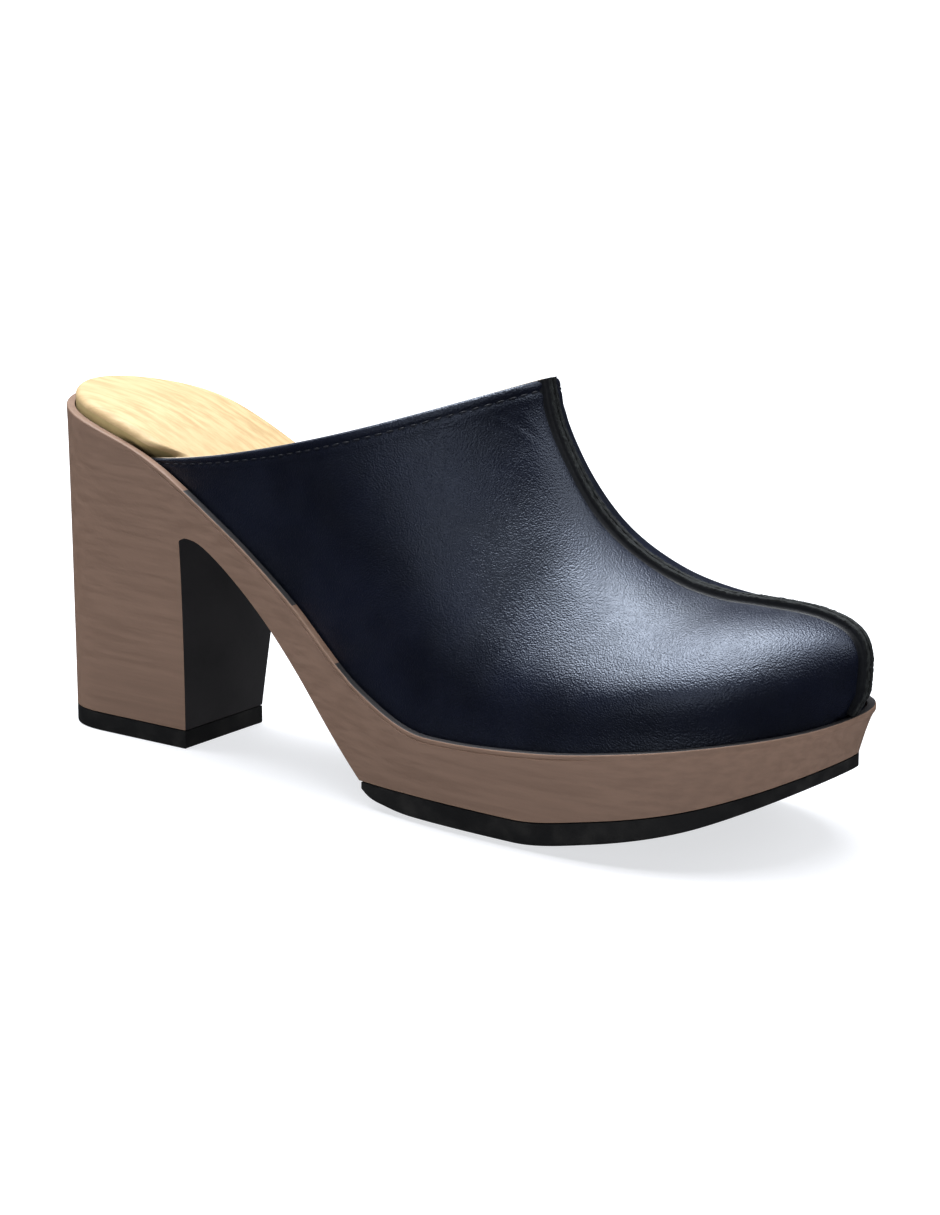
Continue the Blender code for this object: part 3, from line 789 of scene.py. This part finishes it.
def leather_surface(grid, positions):
    """The upper's outer face with its hem, creases and unevenness, and its normals."""
    normals = grid_normals(grid)
    distance = collar_distance(grid)
    stitch = distance - STITCH_DOWN
    hem = HEM_PUFF * np.exp(-((distance - STITCH_DOWN / 2) / (0.45 * STITCH_DOWN)) ** 2)
    groove = -0.24 * MM * np.exp(-((stitch / (0.55 * MM)) ** 2))
    below = 0.10 * MM * np.exp(-(((stitch - 1.5 * MM) / (1.0 * MM)) ** 2))
    calm = np.clip(distance / (3 * STITCH_DOWN), 0.0, 1.0)
    relief = hem + groove + below + calm * (crease_relief(grid, positions) + soft_waves(grid))
    return grid + relief[..., None] * normals, normals


def shell_faces(rows, columns):
    faces = []
    for r in range(rows - 1):
        for c in range(columns - 1):
            corner = r * columns + c
            faces.append((corner, corner + 1, corner + columns + 1, corner + columns))
    return faces


def shell(name, layers):
    """Closed sheet through grids that share their columns: outer face, edge rows, inner face."""
    joined = np.concatenate(layers, axis=0)
    rows, columns = joined.shape[:2]
    vertices = list(joined.reshape(-1, 3))
    faces = shell_faces(rows, columns)
    half = rows // 2
    for c in (0, columns - 1):
        for r in range(half - 1):
            a, b = r * columns + c, (r + 1) * columns + c
            d, e = (rows - 1 - r) * columns + c, (rows - 2 - r) * columns + c
            faces.append((a, b, e, d))
    if rows % 2:
        for c in (0, columns - 1):
            faces.append(((half - 1) * columns + c, half * columns + c, (half + 1) * columns + c))
    for c in range(columns - 1):
        faces.append((c, c + 1, (rows - 1) * columns + c + 1, (rows - 1) * columns + c))
    return make_mesh(name, vertices, faces)


def make_leather(leather):
    """Outer leather from the toe to the collar, round the folded edge and back inside."""
    positions = row_positions(22, 180)
    plain = upper_grid(positions, 84)
    outer, normals = leather_surface(plain, positions)
    radius = LEATHER_THICK / 2 * 1.25
    start = int(np.argmax(collar_distance(plain).min(axis=1) > radius))
    edge = unit(plain[0] - plain[start])
    centre = outer[start] - radius * normals[start]
    roll_steps = 8
    fold = []
    for step in range(1, roll_steps):
        turn = math.pi * step / roll_steps
        reach = np.linalg.norm(plain[0] - plain[start], axis=1, keepdims=True)
        fold.append(centre + radius * math.cos(turn) * normals[start] + reach * math.sin(turn) * edge)
    inner_rows = list(range(start, len(positions)))
    inner = outer[inner_rows] - 2 * radius * normals[inner_rows]
    depth = np.clip((collar_distance(plain)[inner_rows] - 4 * MM) / (3 * MM), 0.0, 1.0)[..., None]
    inner = inner + depth * (2 * radius - LEATHER_THICK) * normals[inner_rows]
    piece = shell("upper_leather", [outer[inner_rows][::-1], np.array(fold), inner])
    return add_piece(piece, (leather,), ("upper",))


def make_lining(lining):
    """Thin lining inside the leather; its edge shows at the collar."""
    positions = row_positions(8, 90)
    plain = upper_grid(positions, 48)
    normals = grid_normals(plain)
    distance = collar_distance(plain)
    near = np.exp(-(distance / (4 * MM)) ** 2)[..., None]
    face = plain - (LEATHER_THICK + LINING_SET + 0.28 * MM * near) * normals
    back = plain - (WALL + 0.25 * MM * near) * normals
    piece = shell("upper_lining", [face[::-1], back])
    return add_piece(piece, (lining,))


def seam_frame(count):
    """Evenly spaced points of the centre seam with their outward directions."""
    steps = 3 * count
    stop_z = rim_z(LENGTH) + LIP_GAP
    line = np.array([seam_point(upper_row(i / steps)) for i in range(steps + 1)])
    line = line[line[:, 2] > stop_z]
    run = np.append(0.0, np.cumsum(np.linalg.norm(np.diff(line, axis=0), axis=1)))
    marks = np.linspace(0.0, run[-1], count)
    line = np.stack([np.interp(marks, run, line[:, axis]) for axis in range(3)], axis=1)
    forward = np.gradient(line, axis=0)
    forward[:, 1] = 0.0
    forward = unit(forward)
    outward = np.stack([-forward[:, 2], np.zeros(count), forward[:, 0]], axis=1)
    return line, forward, outward, marks


def seam_profile():
    """Section of the raised seam: two leather layers with raw tops. across and up are in mm."""
    half = SEAM_WIDTH / MM / 2
    top = SEAM_HEIGHT / MM
    side = [(-half - 1.5, -0.35), (-half - 0.9, -0.12), (-half - 0.35, 0.15), (-half - 0.05, 0.7),
            (-half, 0.5 * top), (-half, top - 0.35)]
    crown = [(-half + 0.15, top - 0.08), (-half + 0.6, top), (-0.75, top), (-0.28, top - 0.08),
             (-0.1, top - 0.45), (0.0, top - 0.75)]
    left = side + crown
    return left + [(-y, up) for y, up in left[-2::-1]], len(side)


def make_seam(leather, raw_edge):
    """The two raw leather edges that stand up along the centre seam, a little uneven on top."""
    count = 420
    line, forward, outward, marks = seam_frame(count)
    profile, side_count = seam_profile()
    random = np.random.default_rng(11)
    rings = []
    rough = random.normal(0.0, 1.0, (count, len(profile)))
    ends = 0.45 * np.exp(-marks / (1.2 * MM))
    for k in range(1, count):
        rough[k] = 0.55 * rough[k - 1] + 0.45 * rough[k]
    for i in range(count):
        ring = []
        wander = 0.06 * math.sin(marks[i] / MM / 9.0) + 0.03 * math.sin(marks[i] / MM / 3.1 + 1.0)
        for k, (across, up) in enumerate(profile):
            on_top = side_count - 1 <= k < len(profile) - side_count + 1
            lift = 0.13 * rough[i, k] + ends[i] if on_top else 0.0
            shift = wander * min(max(up, 0.0) / (SEAM_HEIGHT / MM), 1.0)
            point = line[i] + outward[i] * (up + lift) * MM
            point = point + np.array((0.0, (across + shift) * MM, 0.0))
            ring.append(tuple(point))
        rings.append(ring)
    piece = make_mesh("centre_seam", *loft(rings))
    columns = len(profile)
    for index, face in enumerate(piece.data.polygons):
        on_top = side_count - 1 <= index % columns < columns - side_count
        face.material_index = 1 if on_top else 0
    return add_piece(piece, (leather, raw_edge), (), 50)


def stitch_mesh(name, seats):
    """One mesh of small thread arcs. A seat is a middle, a direction, an outward normal and a length."""
    section = 8
    rings_per = 7
    radius = STITCH_THICK / 2
    vertices = []
    faces = []
    for middle, along, out, length in seats:
        across = np.cross(out, along)
        base = len(vertices)
        for r in range(rings_per):
            share = r / (rings_per - 1) * 2 - 1
            bow = math.cos(share * math.pi / 2)
            centre = middle + along * (share * length / 2) + out * (radius * (1.5 * bow**0.6 - 1.1))
            size = radius * (0.45 + 0.55 * max(bow, 0.0) ** 0.35)
            for k in range(section):
                turn = 2 * math.pi * k / section
                vertices.append(centre + across * (size * math.cos(turn)) + out * (size * math.sin(turn)))
        for r in range(rings_per - 1):
            for k in range(section):
                nxt = (k + 1) % section
                a = base + r * section
                faces.append((a + k, a + nxt, a + section + nxt, a + section + k))
        faces.append(tuple(base + k for k in range(section)))
        faces.append(tuple(base + (rings_per - 1) * section + k for k in range(section)))
    return make_mesh(name, vertices, faces, weld=0.0001 * MM)


def make_collar_stitches(thread):
    """Row of thread along the folded collar edge, on both sides of the seam."""
    positions = row_positions(30, 12)
    plain = upper_grid(positions, 110)
    outer, normals = leather_surface(plain, positions)
    distance = collar_distance(plain)
    columns = plain.shape[1]
    line = np.zeros((columns, 3))
    outs = np.zeros((columns, 3))
    for c in range(columns):
        for axis in range(3):
            line[c, axis] = np.interp(STITCH_DOWN, distance[:, c], outer[:, c, axis])
            outs[c, axis] = np.interp(STITCH_DOWN, distance[:, c], normals[:, c, axis])
    run = np.append(0.0, np.cumsum(np.linalg.norm(np.diff(line, axis=0), axis=1)))
    seam_at = run[columns // 2]
    feet = RECESS_DEPTH + 2 * MM
    random = np.random.default_rng(5)
    seats = []
    for at in np.arange(feet, run[-1] - feet, STITCH_PITCH):
        if abs(at - seam_at) < SEAM_WIDTH / 2 + STITCH_LENGTH:
            continue

        def read(values, place):
            return np.array([np.interp(place, run, values[:, axis]) for axis in range(3)])

        along = unit(read(line, at + MM) - read(line, at - MM))
        out = unit(read(outs, at))
        out = unit(out - along * out.dot(along))
        sideways = np.cross(out, along)
        along = unit(along + sideways * random.normal(0.0, 0.05))
        length = STITCH_LENGTH * (1 + random.normal(0.0, 0.04))
        seats.append((read(line, at) + out * 0.06 * MM, along, out, length))
    piece = stitch_mesh("collar_stitches", seats)
    return add_piece(piece, (thread,))


# Materials


class Nodes:
    """A node tree with short helpers."""

    def __init__(self, tree):
        self.tree = tree

    def add(self, kind, **settings):
        node = self.tree.nodes.new(kind)
        for key, value in settings.items():
            setattr(node, key, value)
        return node

    def link(self, start, end):
        self.tree.links.new(start, end)

    def math(self, operation, first, second):
        node = self.add("ShaderNodeMath", operation=operation)
        for socket, value in zip(node.inputs, (first, second)):
            if isinstance(value, (int, float)):
                socket.default_value = value
            else:
                self.link(value, socket)
        return node.outputs["Value"]

    def dot(self, vector, fixed):
        node = self.add("ShaderNodeVectorMath", operation="DOT_PRODUCT")
        self.link(vector, node.inputs[0])
        node.inputs[1].default_value = fixed
        return node.outputs["Value"]

    def remap(self, value, low, high, to_low, to_high):
        """Ease a socket from one range to another."""
        node = self.add("ShaderNodeMapRange", interpolation_type="SMOOTHSTEP")
        for key, number in (("From Min", low), ("From Max", high), ("To Min", to_low), ("To Max", to_high)):
            node.inputs[key].default_value = number
        self.link(value, node.inputs["Value"])
        return node.outputs["Result"]


class Paint(Nodes):
    """A Principled material with helpers for its textures."""

    def __init__(self, name, colour, roughness):
        self.material = bpy.data.materials.new(name)
        self.material.use_nodes = True
        super().__init__(self.material.node_tree)
        self.shader = self.tree.nodes["Principled BSDF"]
        self.shader.inputs["Base Color"].default_value = (*colour, 1.0)
        self.shader.inputs["Roughness"].default_value = roughness
        self.place = self.add("ShaderNodeTexCoord").outputs["Object"]

    def stretched(self, scale):
        """The object's coordinates times a scale for each axis."""
        mapping = self.add("ShaderNodeMapping")
        mapping.inputs["Scale"].default_value = scale
        self.link(self.place, mapping.inputs["Vector"])
        return mapping.outputs["Vector"]

    def noise(self, scale, detail=3.0, rough=0.5, vector=None):
        node = self.add("ShaderNodeTexNoise")
        node.inputs["Scale"].default_value = scale
        node.inputs["Detail"].default_value = detail
        node.inputs["Roughness"].default_value = rough
        self.link(self.place if vector is None else vector, node.inputs["Vector"])
        return node.outputs["Fac"]

    def cells(self, scale, feature="F1", vector=None):
        node = self.add("ShaderNodeTexVoronoi", feature=feature)
        node.inputs["Scale"].default_value = scale
        self.link(self.place if vector is None else vector, node.inputs["Vector"])
        return node.outputs["Distance"]

    def blend(self, share, first, second):
        """Mix two colours, or a colour and a socket, by a socket."""
        node = self.add("ShaderNodeMix", data_type="RGBA")
        self.link(share, node.inputs["Factor"])
        for socket, value in ((node.inputs["A"], first), (node.inputs["B"], second)):
            if isinstance(value, tuple):
                socket.default_value = (*value, 1.0)
            else:
                self.link(value, socket)
        return node.outputs["Result"]

    def colour(self, socket):
        self.link(socket, self.shader.inputs["Base Color"])

    def roughness(self, socket):
        self.link(socket, self.shader.inputs["Roughness"])

    def bump(self, height, distance, strength=1.0, under=None):
        node = self.add("ShaderNodeBump")
        node.inputs["Distance"].default_value = distance
        node.inputs["Strength"].default_value = strength
        self.link(height, node.inputs["Height"])
        if under is not None:
            self.link(under, node.inputs["Normal"])
        self.link(node.outputs["Normal"], self.shader.inputs["Normal"])
        return node.outputs["Normal"]


def navy_leather():
    """Dark navy full-grain leather: fine pebbled grain, satin, a little uneven in dye."""
    paint = Paint("navy_leather", (0.008, 0.012, 0.030), 0.40)
    patches = paint.remap(paint.noise(38, 4, 0.55), 0.3, 0.7, 0, 1)
    paint.colour(paint.blend(patches, (0.0022, 0.0034, 0.0110), (0.0046, 0.0066, 0.0190)))
    paint.roughness(paint.remap(paint.noise(160, 4, 0.6), 0.3, 0.7, 0.34, 0.43))
    crinkle = paint.noise(240, 3, 0.5, paint.stretched((1.0, 1.2, 0.8)))
    grain = paint.math("SUBTRACT", paint.noise(2600, 2, 0.6), paint.cells(2100))
    under = paint.bump(crinkle, 0.00012, 0.35)
    paint.bump(grain, 0.00011, 0.9, under)
    paint.shader.inputs["Specular IOR Level"].default_value = 0.95
    paint.shader.inputs["Specular Tint"].default_value = (0.78, 0.86, 1.0, 1.0)
    return paint.material


def side_leather():
    """Near-black leather of the seam's standing sides."""
    paint = Paint("seam_side_leather", (0.004, 0.005, 0.009), 0.55)
    paint.colour(paint.blend(paint.noise(500, 3), (0.0025, 0.003, 0.005), (0.007, 0.009, 0.014)))
    paint.bump(paint.noise(1500, 3, 0.6), 0.0001, 0.7)
    return paint.material


def raw_leather_edge():
    """Raw cut edge: fibrous, dull, grey-green over black."""
    paint = Paint("raw_leather_edge", (0.03, 0.038, 0.034), 0.85)
    fibres = paint.noise(1400, 4, 0.7, paint.stretched((0.35, 1.6, 0.35)))
    paint.colour(paint.blend(paint.remap(fibres, 0.35, 0.7, 0, 1), (0.005, 0.006, 0.007), (0.030, 0.034, 0.034)))
    paint.bump(fibres, 0.00025, 0.9)
    return paint.material


def painted_sole():
    """Wood-look brown paint with faint brushed streaks along the shoe."""
    paint = Paint("wood_look_paint", (0.19, 0.125, 0.088), 0.55)
    streaks = paint.noise(1, 6, 0.62, paint.stretched((28, 420, 620)))
    broad = paint.noise(24, 3, 0.5)
    brushed = paint.blend(paint.remap(streaks, 0.32, 0.68, 0, 1), (0.198, 0.127, 0.091), (0.236, 0.154, 0.112))
    tint = paint.blend(paint.remap(broad, 0.3, 0.7, 0, 0.35), brushed, (0.208, 0.135, 0.098))
    paint.colour(tint)
    paint.roughness(paint.remap(streaks, 0.3, 0.7, 0.50, 0.64))
    under = paint.bump(streaks, 0.00010, 0.35)
    paint.bump(paint.noise(1700, 2, 0.5), 0.00004, 0.5, under)
    return paint.material


def black_foam():
    """Black moulded underside; the same paint is the painted shadow on the lip beside the leather."""
    paint = Paint("black_foam", (0.010, 0.010, 0.011), 0.60)
    paint.colour(paint.blend(paint.noise(60, 4), (0.020, 0.019, 0.021), (0.042, 0.039, 0.041)))
    paint.bump(paint.noise(1100, 3, 0.6), 0.00008, 0.6)
    return paint.material


def black_rubber():
    """Black rubber, slightly dusty."""
    paint = Paint("black_rubber", (0.012, 0.012, 0.013), 0.66)
    dust = paint.noise(150, 5, 0.6)
    paint.colour(paint.blend(paint.remap(dust, 0.4, 0.75, 0, 1), (0.009, 0.009, 0.010), (0.022, 0.021, 0.020)))
    paint.roughness(paint.remap(dust, 0.3, 0.7, 0.58, 0.74))
    paint.bump(paint.noise(1900, 2, 0.5), 0.00006, 0.6)
    return paint.material


def sock_leather():
    """Undyed tan leather of the insole, with a faint grain along the foot."""
    paint = Paint("sock_leather", (0.80, 0.64, 0.42), 0.62)
    grain = paint.noise(1, 5, 0.6, paint.stretched((60, 520, 240)))
    cloud = paint.noise(30, 3, 0.5)
    streaky = paint.blend(paint.remap(grain, 0.35, 0.68, 0, 1), (0.520, 0.395, 0.230), (0.390, 0.275, 0.140))
    paint.colour(paint.blend(paint.remap(cloud, 0.35, 0.7, 0, 0.5), streaky, (0.470, 0.350, 0.200)))
    under = paint.bump(paint.noise(1300, 3, 0.6), 0.00007, 0.5)
    paint.bump(paint.cells(1700, "SMOOTH_F1"), 0.00004, 0.5, under)
    return paint.material


def sock_side():
    """Olive side of the sock, darker than its top: partly its own darker edge, partly painted shade."""
    paint = Paint("sock_side", (0.19, 0.135, 0.045), 0.75)
    paint.colour(paint.blend(paint.noise(300, 4), (0.34, 0.26, 0.12), (0.46, 0.37, 0.19)))
    paint.bump(paint.noise(1200, 3, 0.6), 0.0001, 0.6)
    return paint.material


def lining_leather():
    """Cream lining."""
    paint = Paint("lining_leather", (0.62, 0.52, 0.38), 0.70)
    paint.colour(paint.blend(paint.noise(90, 4), (0.60, 0.50, 0.36), (0.70, 0.60, 0.45)))
    paint.bump(paint.cells(1500, "SMOOTH_F1"), 0.00006, 0.5)
    return paint.material


def waxed_thread():
    """Dark thread with a twist."""
    paint = Paint("waxed_thread", (0.012, 0.014, 0.022), 0.45)
    twist = paint.noise(1, 2, 0.5, paint.stretched((2600, 2600, 2600)))
    paint.colour(paint.blend(twist, (0.006, 0.007, 0.012), (0.030, 0.034, 0.046)))
    paint.bump(twist, 0.00008, 0.8)
    return paint.material


def floor_paint():
    """Pale floor with a little light of its own, as over a lit table, so that shadows stay light."""
    paint = Paint("studio_floor", (0.86, 0.86, 0.87), 0.75)
    paint.colour(paint.blend(paint.noise(3, 2), (0.31, 0.31, 0.32), (0.33, 0.33, 0.34)))
    paint.shader.inputs["Emission Color"].default_value = (0.97, 0.98, 1.0, 1.0)
    paint.shader.inputs["Emission Strength"].default_value = FLOOR_GLOW
    paint.shader.inputs["Specular IOR Level"].default_value = 0.1
    return paint.material


# Stage


def direction(azimuth, height):
    """Unit vector for an angle round from +X and an angle up from the floor, both in degrees."""
    turn, rise = math.radians(azimuth), math.radians(height)
    return math.cos(rise) * math.cos(turn), math.cos(rise) * math.sin(turn), math.sin(rise)


def make_light():
    """World light from the studio's soft areas, with a plain white backdrop for the camera."""
    world = bpy.data.worlds.new("studio")
    world.use_nodes = True
    room = Nodes(world.node_tree)
    towards = room.add("ShaderNodeTexCoord").outputs["Generated"]

    total = ROOM_LIGHT
    for light in LIGHTS:
        facing = room.dot(towards, direction(light.azimuth, light.height))
        edge, core = (math.cos(math.radians(angle)) for angle in (light.edge, light.core))
        total = room.math("ADD", room.remap(facing, edge, core, 0.0, light.strength), total)
    soft = room.tree.nodes["Background"]
    soft.inputs["Color"].default_value = (*LIGHT_TINT, 1.0)
    room.link(total, soft.inputs["Strength"])
    backdrop = room.add("ShaderNodeBackground")
    backdrop.inputs["Color"].default_value = (*BACKDROP, 1.0)
    choice = room.add("ShaderNodeMixShader")
    room.link(room.add("ShaderNodeLightPath").outputs["Is Camera Ray"], choice.inputs["Fac"])
    room.link(soft.outputs["Background"], choice.inputs[1])
    room.link(backdrop.outputs["Background"], choice.inputs[2])
    room.link(choice.outputs["Shader"], room.tree.nodes["World Output"].inputs["Surface"])
    bpy.context.scene.world = world
    bpy.context.scene.view_settings.view_transform = "Standard"
    bpy.context.scene.view_settings.gamma = CONTRAST


def make_floor():
    """Plain pale studio floor. The leather doesn't mirror it, as it mirrors a dark room in the photograph."""
    size = 12.0
    corners = [(-size, -size, 0), (size, -size, 0), (size, size, 0), (-size, size, 0)]
    mesh = bpy.data.meshes.new("floor")
    mesh.from_pydata(corners, [], [(0, 1, 2, 3)])
    floor = bpy.data.objects.new("floor", mesh)
    floor.data.materials.append(floor_paint())
    floor.visible_glossy = False
    bpy.context.scene.collection.objects.link(floor)


def make_camera():
    """The photograph's own viewpoint, turned a little to frame the one shoe."""
    camera = bpy.data.objects.new("camera", bpy.data.cameras.new("camera"))
    camera.data.sensor_width = 36.0
    camera.data.lens = CAMERA_LENS
    camera.location = Vector(CAMERA_AT) + ROW_SHIFT
    camera.rotation_euler = (math.radians(90 - CAMERA_PITCH), 0.0, math.radians(CAMERA_YAW))
    bpy.context.scene.collection.objects.link(camera)
    bpy.context.scene.camera = camera


def main():
    make_sole_unit(painted_sole(), black_foam())
    rubber = black_rubber()
    make_forefoot_rubber(rubber)
    make_heel_rubber(rubber)
    make_insole(sock_leather(), sock_side())
    make_leather(navy_leather())
    make_lining(lining_leather())
    make_seam(side_leather(), raw_leather_edge())
    make_collar_stitches(waxed_thread())
    make_floor()
    make_light()
    make_camera()


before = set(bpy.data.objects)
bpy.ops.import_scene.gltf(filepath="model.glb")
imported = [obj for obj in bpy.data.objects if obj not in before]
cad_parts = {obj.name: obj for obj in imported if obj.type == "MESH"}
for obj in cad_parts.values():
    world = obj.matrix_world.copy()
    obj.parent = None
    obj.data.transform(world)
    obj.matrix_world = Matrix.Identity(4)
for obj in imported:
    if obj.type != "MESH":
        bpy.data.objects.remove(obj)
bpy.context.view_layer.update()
SOLE_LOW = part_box("sole_unit")[0]
TOP_PIECE_LOW, TOP_PIECE_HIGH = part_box("heel_top_piece")
ROW_SHIFT = Vector((SOLE_LOW.x, (TOP_PIECE_LOW.y + TOP_PIECE_HIGH.y) / 2 - HEEL_BASE_SHIFT, 0.0))
main()
